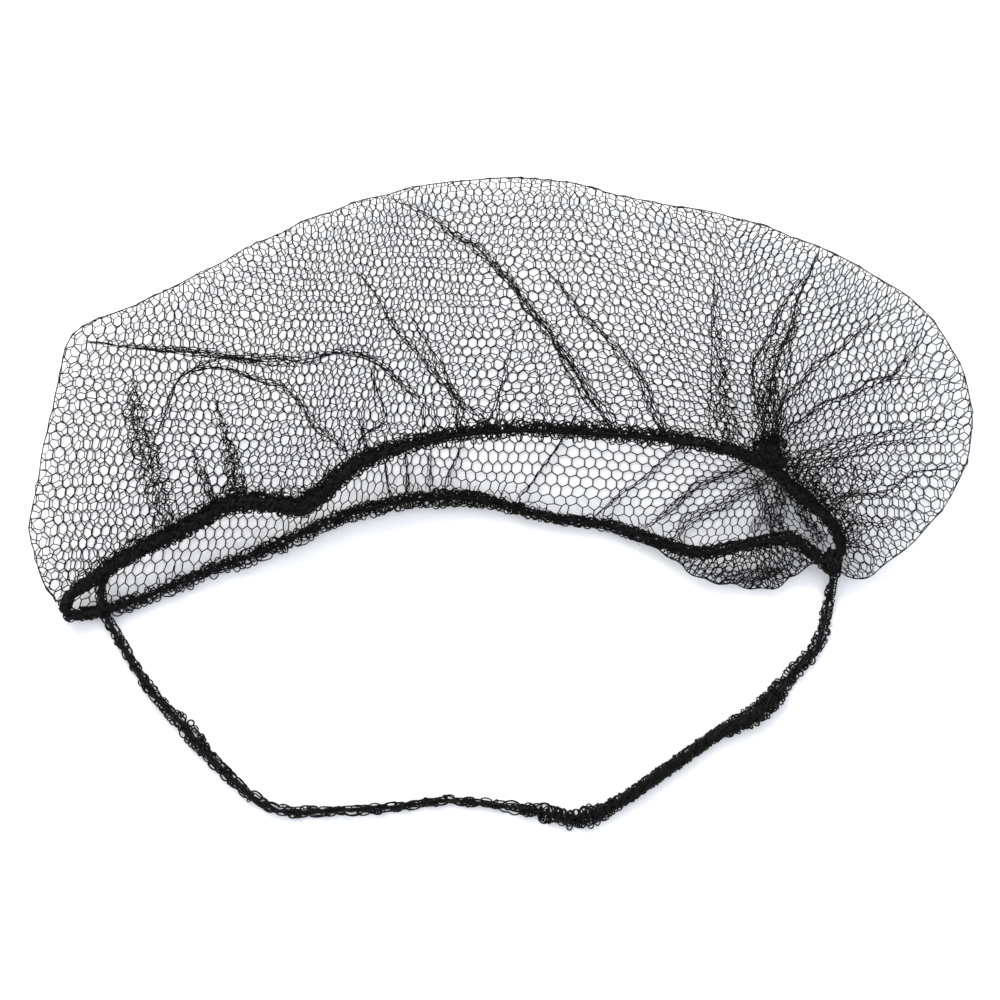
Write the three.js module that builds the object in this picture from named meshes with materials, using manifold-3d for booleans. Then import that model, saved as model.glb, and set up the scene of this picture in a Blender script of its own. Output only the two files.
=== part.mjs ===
// Beard net: a boat-shaped pouch of fine net, gathered on an elastic rim around its mouth,
// tied at both corners, with a knitted elastic head strap looping from corner to corner.
// It lies on its side on a table. Units are millimetres, +Z is up, X runs along the mouth
// and Y points from the mouth towards the bottom of the pouch.
import * as THREE from "three";
import { mergeVertices } from "three/addons/utils/BufferGeometryUtils.js";
import Module from "manifold-3d";

const wasm = await Module();
wasm.setup();

// Driving dimensions
const WALL = 1.0;
const CLEARANCE = 0.3;
const TABLE_LAYER_Z = WALL / 2;
const EDGE_Z = 3.0;
const SLACK_LEAD = 1.5;
const SLACK_TURN_Z = 1.0;
const LOWEST_UPPER_LAYER = 2.7;
const RIM_RADIUS = 2.1;
const THICK_RIM_RADIUS = 2.9;
const THICK_RIM_FROM = 0.72;
const THICK_RIM_FULL = 0.78;
const STRAP_HEIGHT = 3.2;
const STRAP_THIN = 3.2;
const STRAP_DENSE = 6.0;

// Fineness of the faceted solids
const POUCH_STATIONS = 56;
const STEPS_PER_SPAN = 3;
const SPANS = 10;
const UPPER_SPANS = 5;
const POUCH_STEPS = SPANS * STEPS_PER_SPAN;
const TUBE_SIDES = 8;
const RIM_STATIONS = 44;
const STRAP_STATIONS = 62;

// Cross sections of the pouch, from the left corner to the right one. Each starts on the upper
// rim, climbs to the crest, turns round the outer edge, comes back along the table and ends on
// the lower rim. Slack is how far the net sags out past the lower rim before it turns up to it.
const SECTIONS = [
  { upperRim: [-109.5, -25, 6], crest: 8, edge: [-115, -28.5], lowerRim: [-109, -30, 2.2], slack: 0 },
  { upperRim: [-105, -22, 6.5], crest: 9, edge: [-120, -20], lowerRim: [-105, -30, 2.2], slack: 0 },
  { upperRim: [-101, -19.5, 7], crest: 11, edge: [-123, -8], lowerRim: [-100, -29, 2.2], slack: 0 },
  { upperRim: [-97, -17, 8], crest: 14, edge: [-120.5, 12], lowerRim: [-95, -27.5, 2.2], slack: 0 },
  { upperRim: [-91, -14, 9], crest: 16, edge: [-117, 32], lowerRim: [-90, -25.5, 2.2], slack: 0 },
  { upperRim: [-85, -11.5, 10], crest: 18, edge: [-113.5, 45], lowerRim: [-84, -23, 2.2], slack: 0 },
  { upperRim: [-78, -8, 11], crest: 20, edge: [-98, 52.5], lowerRim: [-77, -20, 2.2], slack: 0 },
  { upperRim: [-70, -4, 12], crest: 21, edge: [-82, 60.5], lowerRim: [-69, -17, 2.2], slack: 0 },
  { upperRim: [-60, -3.5, 13], crest: 22, edge: [-66, 69.5], lowerRim: [-61, -14, 2.2], slack: 0 },
  { upperRim: [-50, -4.5, 14], crest: 23, edge: [-48, 78], lowerRim: [-51, -9.5, 2.2], slack: 0 },
  { upperRim: [-36, 6.5, 15.5], crest: 24, edge: [-28, 84.5], lowerRim: [-38, -4, 2.2], slack: 0 },
  { upperRim: [-16, 12.5, 17], crest: 25, edge: [-6, 88], lowerRim: [-22, -0.5, 2.2], slack: 0 },
  { upperRim: [5, 14.5, 18], crest: 26, edge: [16, 87.5], lowerRim: [-5, -0.5, 2.2], slack: 0 },
  { upperRim: [26, 13.5, 18], crest: 26, edge: [38, 82], lowerRim: [12, -5, 2.2], slack: 0 },
  { upperRim: [46, 12, 17], crest: 25, edge: [60, 78], lowerRim: [29, -7.5, 2.2], slack: 0 },
  { upperRim: [61, 9.5, 15], crest: 24, edge: [82, 70.5], lowerRim: [42, -12, 3], slack: 3 },
  { upperRim: [69.5, 5.5, 14], crest: 23, edge: [101, 60.5], lowerRim: [52, -15, 4.5], slack: 7 },
  { upperRim: [75.5, 1, 12], crest: 21, edge: [115, 49], lowerRim: [62, -13.5, 5.5], slack: 10.5 },
  { upperRim: [80.5, -3, 10], crest: 18, edge: [123.5, 32], lowerRim: [70, -12, 5.5], slack: 13 },
  { upperRim: [85, -7, 9], crest: 15, edge: [124, 14], lowerRim: [76, -11.5, 5.5], slack: 10.5 },
  { upperRim: [88, -11, 7], crest: 12, edge: [115, -4.5], lowerRim: [80.5, -14.5, 5], slack: 5 },
  { upperRim: [88.5, -15.5, 6], crest: 9, edge: [97, -21], lowerRim: [84.5, -18, 5], slack: 0 },
];

// Main folds and dents of the upper layer. Each row says where a fold meets the rim and the outer
// edge, counted in sections, how deep and how wide it is, and which part of the way it covers.
const FOLDS = [
  { name: "long left fold", rim: 10.6, edge: 5.4, depth: 5, width: 0.55, from: 0.02, to: 0.9 },
  { name: "left arch", rim: 7.2, edge: 7.6, depth: 4, width: 0.8, from: 0.02, to: 0.5 },
  { name: "left lobe fold", rim: 4.4, edge: 4.9, depth: 3, width: 0.5, from: 0.05, to: 0.7 },
  { name: "left middle dart", rim: 12.3, edge: 9.7, depth: 4, width: 0.5, from: 0.02, to: 0.8 },
  { name: "middle dart", rim: 13.6, edge: 10.8, depth: 4, width: 0.5, from: 0.02, to: 0.85 },
  { name: "right middle dart", rim: 14.3, edge: 12.2, depth: 4, width: 0.5, from: 0.02, to: 0.7 },
  { name: "right band", rim: 15.2, edge: 14.2, depth: 3, width: 0.5, from: 0.02, to: 0.9 },
  { name: "knot fold", rim: 16.1, edge: 15.5, depth: 6, width: 0.5, from: 0.02, to: 0.95 },
  { name: "upper lobe ray", rim: 16.6, edge: 17.6, depth: 4, width: 0.5, from: 0.02, to: 0.9 },
  { name: "lower lobe ray", rim: 17.2, edge: 18.9, depth: 3, width: 0.5, from: 0.02, to: 0.85 },
];

// Middle of the whole net in plan, which becomes the origin
const MIDDLE = [0.92, 1.25];

// Tied lumps of elastic: at the two corners and where the net is gathered on the upper rim
const LEFT_KNOT = { centre: [-106, -26.5, 4.8], size: [6.0, 3.6, 3.4] };
const RIGHT_KNOT = { centre: [87, -19, 4.4], size: [3.8, 4.4, 4.0] };
const GATHER_KNOT = { centre: [70, 10, 15], size: [5.2, 4.6, 4.0] };

// Centre line of the head strap on the table, from the left corner to the right one
const STRAP_ROUTE = [
  [-103, -30.5],
  [-98.5, -38.5],
  [-90.5, -50.5],
  [-81, -60.5],
  [-70.5, -72],
  [-58, -81],
  [-41, -81.5],
  [-26, -80.5],
  [-14, -79],
  [-2, -80],
  [9, -81.5],
  [17.5, -83.5],
  [27, -81.5],
  [43, -71],
  [56, -62],
  [67, -56],
  [77, -45],
  [83, -38],
  [85.5, -28],
  [87, -21],
];
// Shares of the strap's length between which its knitted loops lie close together
const DENSE_FROM = 0.57;
const DENSE_TO = 0.83;
const DENSE_BLEND = 0.05;

// A smooth run through one value of every section
function runThrough(pointOf) {
  const points = SECTIONS.map((section) => new THREE.Vector3(...pointOf(section)));
  return new THREE.CatmullRomCurve3(points, false, "catmullrom", 0.5);
}

const upperRimLine = runThrough(({ upperRim }) => upperRim);
const lowerRimLine = runThrough(({ lowerRim }) => lowerRim);
const edgeLine = runThrough(({ edge }) => [...edge, EDGE_Z]);
const crestAndSlackLine = runThrough(({ crest, slack }) => [crest, slack, 0]);

// One cross section of the middle of the pouch's wall, as a smooth curve
function sectionCurve(along) {
  const upperRim = upperRimLine.getPoint(along);
  const lowerRim = lowerRimLine.getPoint(along);
  const edge = edgeLine.getPoint(along);
  const { x: crest, y: spareNet } = crestAndSlackLine.getPoint(along);
  const slack = Math.max(spareNet, 0);
  const over = (share, height) =>
    new THREE.Vector3(
      THREE.MathUtils.lerp(upperRim.x, edge.x, share),
      THREE.MathUtils.lerp(upperRim.y, edge.y, share),
      height,
    );
  const under = (share, height) =>
    new THREE.Vector3(
      THREE.MathUtils.lerp(lowerRim.x, edge.x, share),
      THREE.MathUtils.lerp(lowerRim.y, edge.y, share),
      height,
    );
  const points = [
    upperRim,
    over(0.16, THREE.MathUtils.lerp(upperRim.z, crest, 0.75)),
    over(0.4, crest),
    over(0.68, crest * 0.76),
    over(0.9, Math.max(crest * 0.42, EDGE_Z * 1.7)),
    over(1, EDGE_Z),
    under(0.94, TABLE_LAYER_Z),
    under(0.5, TABLE_LAYER_Z),
    under(0.12, TABLE_LAYER_Z),
    new THREE.Vector3(lowerRim.x, lowerRim.y + SLACK_LEAD - slack, SLACK_TURN_Z),
    lowerRim,
  ];
  return new THREE.CatmullRomCurve3(points, false, "centripetal");
}

// How far the folds push the upper layer down at one place of the pouch
function foldDepth(along, across) {
  const station = along * (SECTIONS.length - 1);
  return FOLDS.reduce((sum, fold) => {
    const share = (across - fold.from) / (fold.to - fold.from);
    if (share <= 0 || share >= 1) {
      return sum;
    }
    const middle = THREE.MathUtils.lerp(fold.rim, fold.edge, across);
    const offset = (station - middle) / fold.width;
    const fade = Math.sin(Math.PI * share) * (1 - 0.5 * share);
    return sum + fold.depth * fade * Math.exp(-offset * offset);
  }, 0);
}

// Grid of points on the middle of the wall: one row of points for each station
function pouchGrid() {
  const rows = [];
  for (let station = 0; station <= POUCH_STATIONS; station += 1) {
    const along = station / POUCH_STATIONS;
    const curve = sectionCurve(along);
    const row = curve.getPoints(POUCH_STEPS);
    row.forEach((point, step) => {
      const across = step / (UPPER_SPANS * STEPS_PER_SPAN);
      if (across < 1 && point.z > LOWEST_UPPER_LAYER) {
        point.z = Math.max(point.z - foldDepth(along, across), LOWEST_UPPER_LAYER);
      }
      point.z = Math.max(point.z, TABLE_LAYER_Z);
    });
    rows.push(row);
  }
  return rows;
}

// Unit normal of the wall at one grid point, pointing out of the pouch
function gridNormal(rows, station, step) {
  const before = rows[Math.max(station - 1, 0)][step];
  const after = rows[Math.min(station + 1, rows.length - 1)][step];
  const row = rows[station];
  const previous = row[Math.max(step - 1, 0)];
  const next = row[Math.min(step + 1, row.length - 1)];
  const alongWall = new THREE.Vector3().subVectors(after, before);
  const acrossWall = new THREE.Vector3().subVectors(next, previous);
  return alongWall.cross(acrossWall).normalize();
}

// Closed solid from indexed triangles
function solidFrom(positions, triangles) {
  const geometry = new THREE.BufferGeometry();
  geometry.setAttribute("position", new THREE.Float32BufferAttribute(positions, 3));
  geometry.setIndex(triangles);
  return geometry;
}

// The pouch: an outer and an inner skin of the grid, joined all round their border
function pouchGeometry(extra) {
  const rows = pouchGrid();
  const width = POUCH_STEPS + 1;
  const skinSize = rows.length * width;
  const positions = [];
  for (const side of [WALL / 2 + extra, -WALL / 2 - extra]) {
    rows.forEach((row, station) => {
      row.forEach((point, step) => {
        const moved = point.clone().addScaledVector(gridNormal(rows, station, step), side);
        moved.z = Math.max(moved.z, 0);
        positions.push(moved.x, moved.y, moved.z);
      });
    });
  }
  const triangles = [];
  const quad = (a, b, c, d) => triangles.push(a, b, c, a, c, d);
  const outer = (station, step) => station * width + step;
  const inner = (station, step) => skinSize + outer(station, step);
  const lastStation = rows.length - 1;
  for (let station = 0; station < lastStation; station += 1) {
    for (let step = 0; step < POUCH_STEPS; step += 1) {
      quad(
        outer(station, step),
        outer(station + 1, step),
        outer(station + 1, step + 1),
        outer(station, step + 1),
      );
      quad(
        inner(station, step),
        inner(station, step + 1),
        inner(station + 1, step + 1),
        inner(station + 1, step),
      );
    }
    quad(outer(station, 0), inner(station, 0), inner(station + 1, 0), outer(station + 1, 0));
    quad(
      outer(station, POUCH_STEPS),
      outer(station + 1, POUCH_STEPS),
      inner(station + 1, POUCH_STEPS),
      inner(station, POUCH_STEPS),
    );
  }
  for (let step = 0; step < POUCH_STEPS; step += 1) {
    quad(outer(0, step), outer(0, step + 1), inner(0, step + 1), inner(0, step));
    quad(
      outer(lastStation, step),
      inner(lastStation, step),
      inner(lastStation, step + 1),
      outer(lastStation, step + 1),
    );
  }
  return solidFrom(positions, triangles);
}

// A tube along a nearly level curve, with flat ends. halfSizes(share) gives its half width and
// half height at each share of the length, and extra grows it all round and at both ends.
function tubeGeometry(curve, stations, halfSizes, extra) {
  const positions = [];
  const up = new THREE.Vector3(0, 0, 1);
  for (let station = 0; station <= stations; station += 1) {
    const share = station / stations;
    const tangent = curve.getTangentAt(share);
    const centre = curve.getPointAt(share);
    if (station === 0) {
      centre.addScaledVector(tangent, -extra);
    }
    if (station === stations) {
      centre.addScaledVector(tangent, extra);
    }
    const side = new THREE.Vector3().crossVectors(tangent, up).normalize();
    const rise = new THREE.Vector3().crossVectors(side, tangent).normalize();
    const [halfWidth, halfHeight] = halfSizes(share);
    for (let corner = 0; corner < TUBE_SIDES; corner += 1) {
      const angle = ((corner + 0.5) / TUBE_SIDES) * Math.PI * 2;
      const point = centre
        .clone()
        .addScaledVector(side, Math.cos(angle) * (halfWidth + extra))
        .addScaledVector(rise, Math.sin(angle) * (halfHeight + extra));
      positions.push(point.x, point.y, point.z);
    }
  }
  const triangles = [];
  for (let station = 0; station < stations; station += 1) {
    for (let corner = 0; corner < TUBE_SIDES; corner += 1) {
      const a = station * TUBE_SIDES + corner;
      const b = station * TUBE_SIDES + ((corner + 1) % TUBE_SIDES);
      triangles.push(a, b + TUBE_SIDES, b, a, a + TUBE_SIDES, b + TUBE_SIDES);
    }
  }
  const last = stations * TUBE_SIDES;
  for (let corner = 1; corner < TUBE_SIDES - 1; corner += 1) {
    triangles.push(0, corner, corner + 1);
    triangles.push(last, last + corner + 1, last + corner);
  }
  return solidFrom(positions, triangles);
}

function upperRimGeometry(extra) {
  const curve = new THREE.CatmullRomCurve3(upperRimLine.points, false, "centripetal");
  const halfSizes = (share) => {
    const thickness = THREE.MathUtils.smoothstep(share, THICK_RIM_FROM, THICK_RIM_FULL);
    const radius = THREE.MathUtils.lerp(RIM_RADIUS, THICK_RIM_RADIUS, thickness);
    return [radius, radius];
  };
  return tubeGeometry(curve, RIM_STATIONS, halfSizes, extra);
}

function lowerRimGeometry(extra) {
  const curve = new THREE.CatmullRomCurve3(lowerRimLine.points, false, "centripetal");
  return tubeGeometry(curve, RIM_STATIONS, () => [RIM_RADIUS, RIM_RADIUS], extra);
}

function strapGeometry() {
  const points = STRAP_ROUTE.map(([x, y]) => new THREE.Vector3(x, y, STRAP_HEIGHT / 2));
  const curve = new THREE.CatmullRomCurve3(points, false, "centripetal");
  const halfSizes = (share) => {
    const rising = THREE.MathUtils.smoothstep(share, DENSE_FROM - DENSE_BLEND, DENSE_FROM);
    const falling = THREE.MathUtils.smoothstep(share, DENSE_TO, DENSE_TO + DENSE_BLEND);
    const width = THREE.MathUtils.lerp(STRAP_THIN, STRAP_DENSE, rising - falling);
    return [width / 2, STRAP_HEIGHT / 2];
  };
  return tubeGeometry(curve, STRAP_STATIONS, halfSizes, 0);
}

function knotGeometry({ centre, size }, extra) {
  const geometry = new THREE.SphereGeometry(1, 16, 10);
  geometry.scale(size[0] + extra, size[1] + extra, size[2] + extra);
  geometry.translate(...centre);
  return geometry;
}

// Manifold solid of a geometry, with its shared corners merged
function manifoldOf(geometry) {
  const bare = geometry.clone();
  bare.deleteAttribute("normal");
  bare.deleteAttribute("uv");
  const merged = mergeVertices(bare, 1e-4);
  const mesh = new wasm.Mesh({
    numProp: 3,
    vertProperties: new Float32Array(merged.attributes.position.array),
    triVerts: new Uint32Array(merged.index.array),
  });
  return new wasm.Manifold(mesh);
}

// What is left of a geometry once its neighbours, grown by the clearance, are cut away
function clearOf(geometry, neighbours) {
  const solid = neighbours.reduce(
    (rest, neighbour) => rest.subtract(manifoldOf(neighbour)),
    manifoldOf(geometry),
  );
  const largest = solid.decompose().reduce((a, b) => (a.volume() >= b.volume() ? a : b));
  const mesh = largest.getMesh();
  return solidFrom(Array.from(mesh.vertProperties), Array.from(mesh.triVerts));
}

const netMaterial = new THREE.MeshStandardMaterial({
  name: "black_nylon_net",
  color: 0x17171a,
  roughness: 0.75,
  metalness: 0,
});
const elasticMaterial = new THREE.MeshStandardMaterial({
  name: "black_elastic",
  color: 0x121214,
  roughness: 0.85,
  metalness: 0,
});

function piece(name, geometry, material) {
  const mesh = new THREE.Mesh(geometry, material);
  mesh.name = name;
  return mesh;
}

const knots = [LEFT_KNOT, RIGHT_KNOT, GATHER_KNOT];
const grownKnots = knots.map((knot) => knotGeometry(knot, CLEARANCE));
const grownRims = [upperRimGeometry(CLEARANCE), lowerRimGeometry(CLEARANCE)];

const group = new THREE.Group();
group.position.set(-MIDDLE[0], -MIDDLE[1], 0);
group.add(
  piece("net_pouch", clearOf(pouchGeometry(0), [...grownRims, ...grownKnots]), netMaterial),
  piece("upper_rim", clearOf(upperRimGeometry(0), grownKnots), elasticMaterial),
  piece(
    "lower_rim",
    clearOf(lowerRimGeometry(0), [...grownKnots, grownRims[0]]),
    elasticMaterial,
  ),
  piece("left_corner_knot", knotGeometry(LEFT_KNOT, 0), elasticMaterial),
  piece("right_corner_knot", knotGeometry(RIGHT_KNOT, 0), elasticMaterial),
  piece("gather_knot", knotGeometry(GATHER_KNOT, 0), elasticMaterial),
  piece(
    "head_strap",
    clearOf(strapGeometry(), [...grownKnots, ...grownRims, pouchGeometry(CLEARANCE)]),
    elasticMaterial,
  ),
);

export default group;
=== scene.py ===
"""Beard net: a boat-shaped pouch of fine hexagonal net, gathered on an elastic rim, with a
knitted elastic head strap, lying on its side on a pale table. Lengths in the tables are
millimetres in the model's own frame; meshes are made in metres."""

import math
from collections import namedtuple

import bpy
import numpy as np
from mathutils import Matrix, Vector
from mathutils.bvhtree import BVHTree


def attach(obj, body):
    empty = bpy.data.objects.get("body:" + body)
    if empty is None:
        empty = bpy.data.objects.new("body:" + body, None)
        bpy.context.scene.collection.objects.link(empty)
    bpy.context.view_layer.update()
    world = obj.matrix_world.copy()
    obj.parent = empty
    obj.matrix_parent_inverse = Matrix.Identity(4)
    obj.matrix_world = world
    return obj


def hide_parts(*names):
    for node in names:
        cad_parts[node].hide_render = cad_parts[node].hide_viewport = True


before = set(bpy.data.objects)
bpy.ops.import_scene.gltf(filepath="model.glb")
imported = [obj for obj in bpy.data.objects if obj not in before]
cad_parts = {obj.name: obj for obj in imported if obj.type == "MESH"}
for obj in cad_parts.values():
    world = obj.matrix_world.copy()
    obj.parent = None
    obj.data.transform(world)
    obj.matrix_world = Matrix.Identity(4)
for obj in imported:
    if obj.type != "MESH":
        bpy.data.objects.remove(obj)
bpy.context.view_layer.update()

MM = 0.001
# The middle of the part in the tables, which is the frame's origin
MIDDLE = np.array([0.92, 1.25, 0.0])

# Cross sections of the pouch from the left corner to the right one, as in the CAD:
# upper rim x, y, z | outer edge x, y | lower rim x, y, z | slack past the lower rim
SECTIONS = np.array([
    (-109.5, -25, 6, -115, -28.5, -109, -30, 2.2, 0),
    (-105, -22, 6.5, -120, -20, -105, -30, 2.2, 0),
    (-101, -19.5, 7, -123, -8, -100, -29, 2.2, 0),
    (-97, -17, 8, -120.5, 12, -95, -27.5, 2.2, 0),
    (-91, -14, 9, -117, 32, -90, -25.5, 2.2, 0),
    (-85, -11.5, 10, -113.5, 45, -84, -23, 2.2, 0),
    (-78, -8, 11, -98, 52.5, -77, -20, 2.2, 0),
    (-70, -4, 12, -82, 60.5, -69, -17, 2.2, 0),
    (-60, -3.5, 13, -66, 69.5, -61, -14, 2.2, 0),
    (-50, -4.5, 14, -48, 78, -51, -9.5, 2.2, 0),
    (-36, 6.5, 15.5, -28, 84.5, -38, -4, 2.2, 0),
    (-16, 12.5, 17, -6, 88, -22, -0.5, 2.2, 0),
    (5, 14.5, 18, 16, 87.5, -5, -0.5, 2.2, 0),
    (26, 13.5, 18, 38, 82, 12, -5, 2.2, 0),
    (46, 12, 17, 60, 78, 29, -7.5, 2.2, 0),
    (61, 9.5, 15, 82, 70.5, 42, -12, 3, 3),
    (69.5, 5.5, 14, 101, 60.5, 52, -15, 4.5, 7),
    (75.5, 1, 12, 115, 49, 62, -13.5, 5.5, 10.5),
    (80.5, -3, 10, 123.5, 32, 70, -12, 5.5, 13),
    (85, -7, 9, 124, 14, 76, -11.5, 5.5, 10.5),
    (88, -11, 7, 115, -4.5, 80.5, -14.5, 5, 5),
    (88.5, -15.5, 6, 97, -21, 84.5, -18, 5, 0),
], float)
# Slack that stays at the rim, and depth and spacing of the scallops of its lip
SLACK_LEAD, LIP_SCALLOP, LIP_WAVE = 1.5, 1.1, 7.5
RIGHT_HEM = [(94, -21.6), (91, -21.4), (88.5, -20)]
EDGE_Z, EDGE_WANDER = 3.0, 0.15
# How far the cloth lies inside the CAD's wall, where it leaves a rim's height, and how it rises
# beside the knot, where the CAD's upper layer starts short of the rim
CLOTH_INSET, RIM_HOLD, RIM_FADE = 0.4, 3.3, 2.5
BARE_REACH, BARE_BELOW, BARE_RISE = 9.0, 0.45, 0.35

# Centre line of the head strap on the table, the route of the CAD's strap
STRAP_ROUTE = [
    (-103, -30.5), (-98.5, -38.5), (-90.5, -50.5), (-81, -60.5), (-70.5, -72), (-58, -81), (-41, -81.5),
    (-26, -80.5), (-14, -79), (-2, -80), (9, -81.5), (17.5, -83.5), (27, -81.5), (43, -71), (56, -62),
    (67, -56), (77, -45), (83, -38), (85.5, -28), (87, -21),
]
# Along the strap, as (share of its length, value): radius of its core, how closely it is
# coiled, and the size and spacing of the loops at its edges
STRAP_CORE = [
    (0, 0.75), (0.08, 0.8), (0.14, 0.95), (0.165, 1.15), (0.19, 0.85), (0.25, 0.85), (0.33, 0.7),
    (0.38, 0.6), (0.53, 0.6), (0.6, 0.65), (0.63, 0.95), (0.66, 1.65), (0.77, 1.6), (0.8, 1.7),
    (0.83, 2.2), (0.85, 2), (0.87, 0.9), (0.95, 0.75), (1, 0.55),
]
STRAP_DENSE = [(0, 0), (0.61, 0), (0.65, 1), (0.85, 1), (0.87, 0), (1, 0)]
STRAP_LOOP = [
    (0, 0.35), (0.12, 0.4), (0.16, 0.75), (0.19, 0.4), (0.52, 0.35), (0.565, 0.85), (0.615, 0.9),
    (0.66, 0.2), (0.77, 0.22), (0.8, 0.45), (0.87, 0.6), (0.93, 0.55), (1, 0.3),
]
STRAP_SPACING = [
    (0, 2.6), (0.14, 1.7), (0.19, 2.6), (0.35, 3.4), (0.52, 3), (0.57, 1.9), (0.67, 0.9), (0.85, 1.1),
    (0.9, 1.8), (1, 2.2),
]
# How far apart separate loops stand out of it
STRAP_LOOSE = [
    (0, 7), (0.14, 3), (0.17, 1.2), (0.2, 6), (0.52, 7), (0.56, 1.7), (0.63, 1.3), (0.67, 5), (0.77, 3),
    (0.82, 1.3), (1, 2.4),
]
# The yarn coiled round it: share of its length, radius and pitch of the coil
STRAP_COIL = np.array([
    (0.53, 0.6, 1.7), (0.565, 1.45, 1.9), (0.61, 1.7, 1.5), (0.645, 1.3, 0.8), (0.665, 1.7, 0.64),
    (0.77, 1.65, 0.64), (0.8, 1.8, 0.7), (0.83, 2.25, 0.8), (0.86, 1.8, 0.9),
])
STRAP_STRANDS, STRAP_LAY, STRAP_FLATNESS = 3, 13.0, 0.8
STRAP_END_LIFT = 1.6
# Angle round the strap and radius of each knitted yarn
STRAP_KNIT = ((0, 0.22), (2.0, 0.2), (4.0, 0.22))

# A rim, as (share of its length, value): radius of its core, size and spacing of the loops at
# its edges, radius of the yarns wound along it, and size of its chain of open stitches. Then the
# angles of the chains round it, how many yarns are wound, and the seed
Rim = namedtuple("Rim", "core loop spacing yarn chain chain_angles yarns seed")
UPPER_RIM = Rim(
    core=[
        (0, 1.35), (0.05, 1.6), (0.2, 1.95), (0.3, 2), (0.38, 1.4), (0.45, 0.6), (0.5, 0.42), (0.7, 0.45),
        (0.78, 0.8), (0.84, 1.35), (0.95, 1.3), (1, 1),
    ],
    loop=[
        (0, 0.2), (0.04, 0.4), (0.3, 0.5), (0.38, 0.65), (0.45, 0.6), (0.75, 0.6), (0.85, 0.4), (1, 0.35),
    ],
    spacing=[(0, 1.5), (1, 1.3)],
    yarn=[(0, 0.42), (0.4, 0.4), (0.47, 0.27), (0.74, 0.27), (0.84, 0.4), (1, 0.4)],
    chain=[(0, 0.25), (0.3, 0.55), (0.4, 0.85), (0.5, 0.95), (0.74, 0.9), (0.83, 0.3), (1, 0.2)],
    chain_angles=(2.7, 3.1, 3.5, 0.1),
    yarns=11,
    seed=5,
)
LOWER_RIM = Rim(
    core=[
        (0, 1), (0.035, 0.75), (0.06, 0.3), (0.28, 0.25), (0.38, 0.35), (0.46, 0.45), (0.48, 0.85),
        (0.53, 0.6), (0.58, 0.45), (0.7, 0.5), (0.735, 0.95), (0.765, 0.6), (0.85, 0.85), (0.93, 1.05),
        (1, 1.1),
    ],
    loop=[
        (0, 0.15), (0.03, 0.3), (0.05, 0.65), (0.08, 0.45), (0.28, 0.5), (0.4, 0.75), (0.52, 0.7),
        (0.62, 0.5), (1, 0.4),
    ],
    spacing=[(0, 3), (0.28, 2.6), (0.4, 1.8), (1, 1.4)],
    yarn=[(0, 0.27), (0.04, 0.17), (0.42, 0.2), (0.5, 0.27), (0.6, 0.22), (0.85, 0.27), (1, 0.27)],
    chain=[
        (0, 0.1), (0.03, 0.15), (0.05, 0.9), (0.08, 0.8), (0.2, 0.9), (0.35, 0.85), (0.52, 0.7),
        (0.6, 0.45), (1, 0.4),
    ],
    chain_angles=(0.1, -0.35, 2.75, 3.05, 3.4),
    yarns=6,
    seed=6,
)
CHAIN_SPACING = [(0, 1.9), (0.3, 1.8), (0.45, 1.7), (1, 1.6)]

# Spacing of the cells and turn of the lattice, and how the lower layer is stretched and leans
UPPER_PITCH, UPPER_TURN = 2.28, math.radians(5)
LOWER_PITCH, LOWER_TURN = 2.6, math.radians(-3)
LOWER_STRETCH, LOWER_LEAN = (1.0, 1.26), 0.1
SLACK_TURNS = math.radians(20), math.radians(47)
# How wide the cells of the lower layer are drawn, by their place along the pouch
LOWER_CELLS = np.array(
    [(-125, 0.9), (-70, 0.84), (-50, 0.7), (-20, 0.74), (-5, 0.98), (45, 1.0), (125, 0.95)]
)
# Net laid past a polygon before it is shaped, and kept until it is trimmed
NET_SPARE, NET_MARGIN = 50, 16
# The left lobe, where the cells are stretched
LOBE_FROM, LOBE_BLEND, LOBE_STRETCH = -55.0, 30, 0.13
# How far apart the rows of the net lie beside the height of the knot, by their place along the
# pouch: drawn together at the knot and fanned out past it
KNOT_Y = 8.0
ROW_SPREAD = np.array([(20, 1.0), (62, 0.86), (88, 1.02), (125, 1.2)])
# Uneven cells: jitter of their knots beside the pitch, then size and spacing of slow and quick drift
KNOT_JITTER, SLOW_DRIFT, QUICK_DRIFT = 0.04, (0.5, 28), (0.22, 9)
# How far cells are drawn out at the outer edge, how far in, and how uneven their cut ends are
EDGE_PULL, EDGE_PULL_REACH, EDGE_UNEVEN = 2.2, 6.5, 0.22
# Crumpling along a rim: size, reach and spacing
CRUMPLE, CRUMPLE_REACH, CRUMPLE_WAVE = 0.7, 5, 6.5
# Points towards which the net is bunched: x, y, cloth drawn in, reach; and where that ends
PINCHES = [(70, 8, 8.5, 13.0), (-108, -26, 2.5, 8.0), (87, -18, 3.5, 9.0)]
PINCH_END = 58
# Radius of a strand, its share away from the knots, and how much thicker the lower layer's are
STRAND_RADIUS, PLAIN_STRAND, LOWER_THICKER = 0.115, 0.72, 1.2
# How far round it a fold draws in cloth, and more by the cloth drawn in. Width of its crease beside
# the fold's, and how strongly cloth crowds there
DRAW_REACH, DRAW_WIDER, CREASE_WIDTH, CREASE_POWER = 12, 2.5, 1.6, 1.7
# Height of a tuck's ridge, the share of it in the lower layer, its clearance and one more layer
TUCK_LIFT, LOWER_LIFT, TUCK_CLEAR, CLOTH_STEP = 1.1, 0.6, 0.3, 0.4
# Crumpled bands: size and spacing of the crumples, and how much the cloth is pushed together
FRILL_CURL, FRILL_WAVE, BAND_CRUSH = 0.6, 3.2, 0.62

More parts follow.
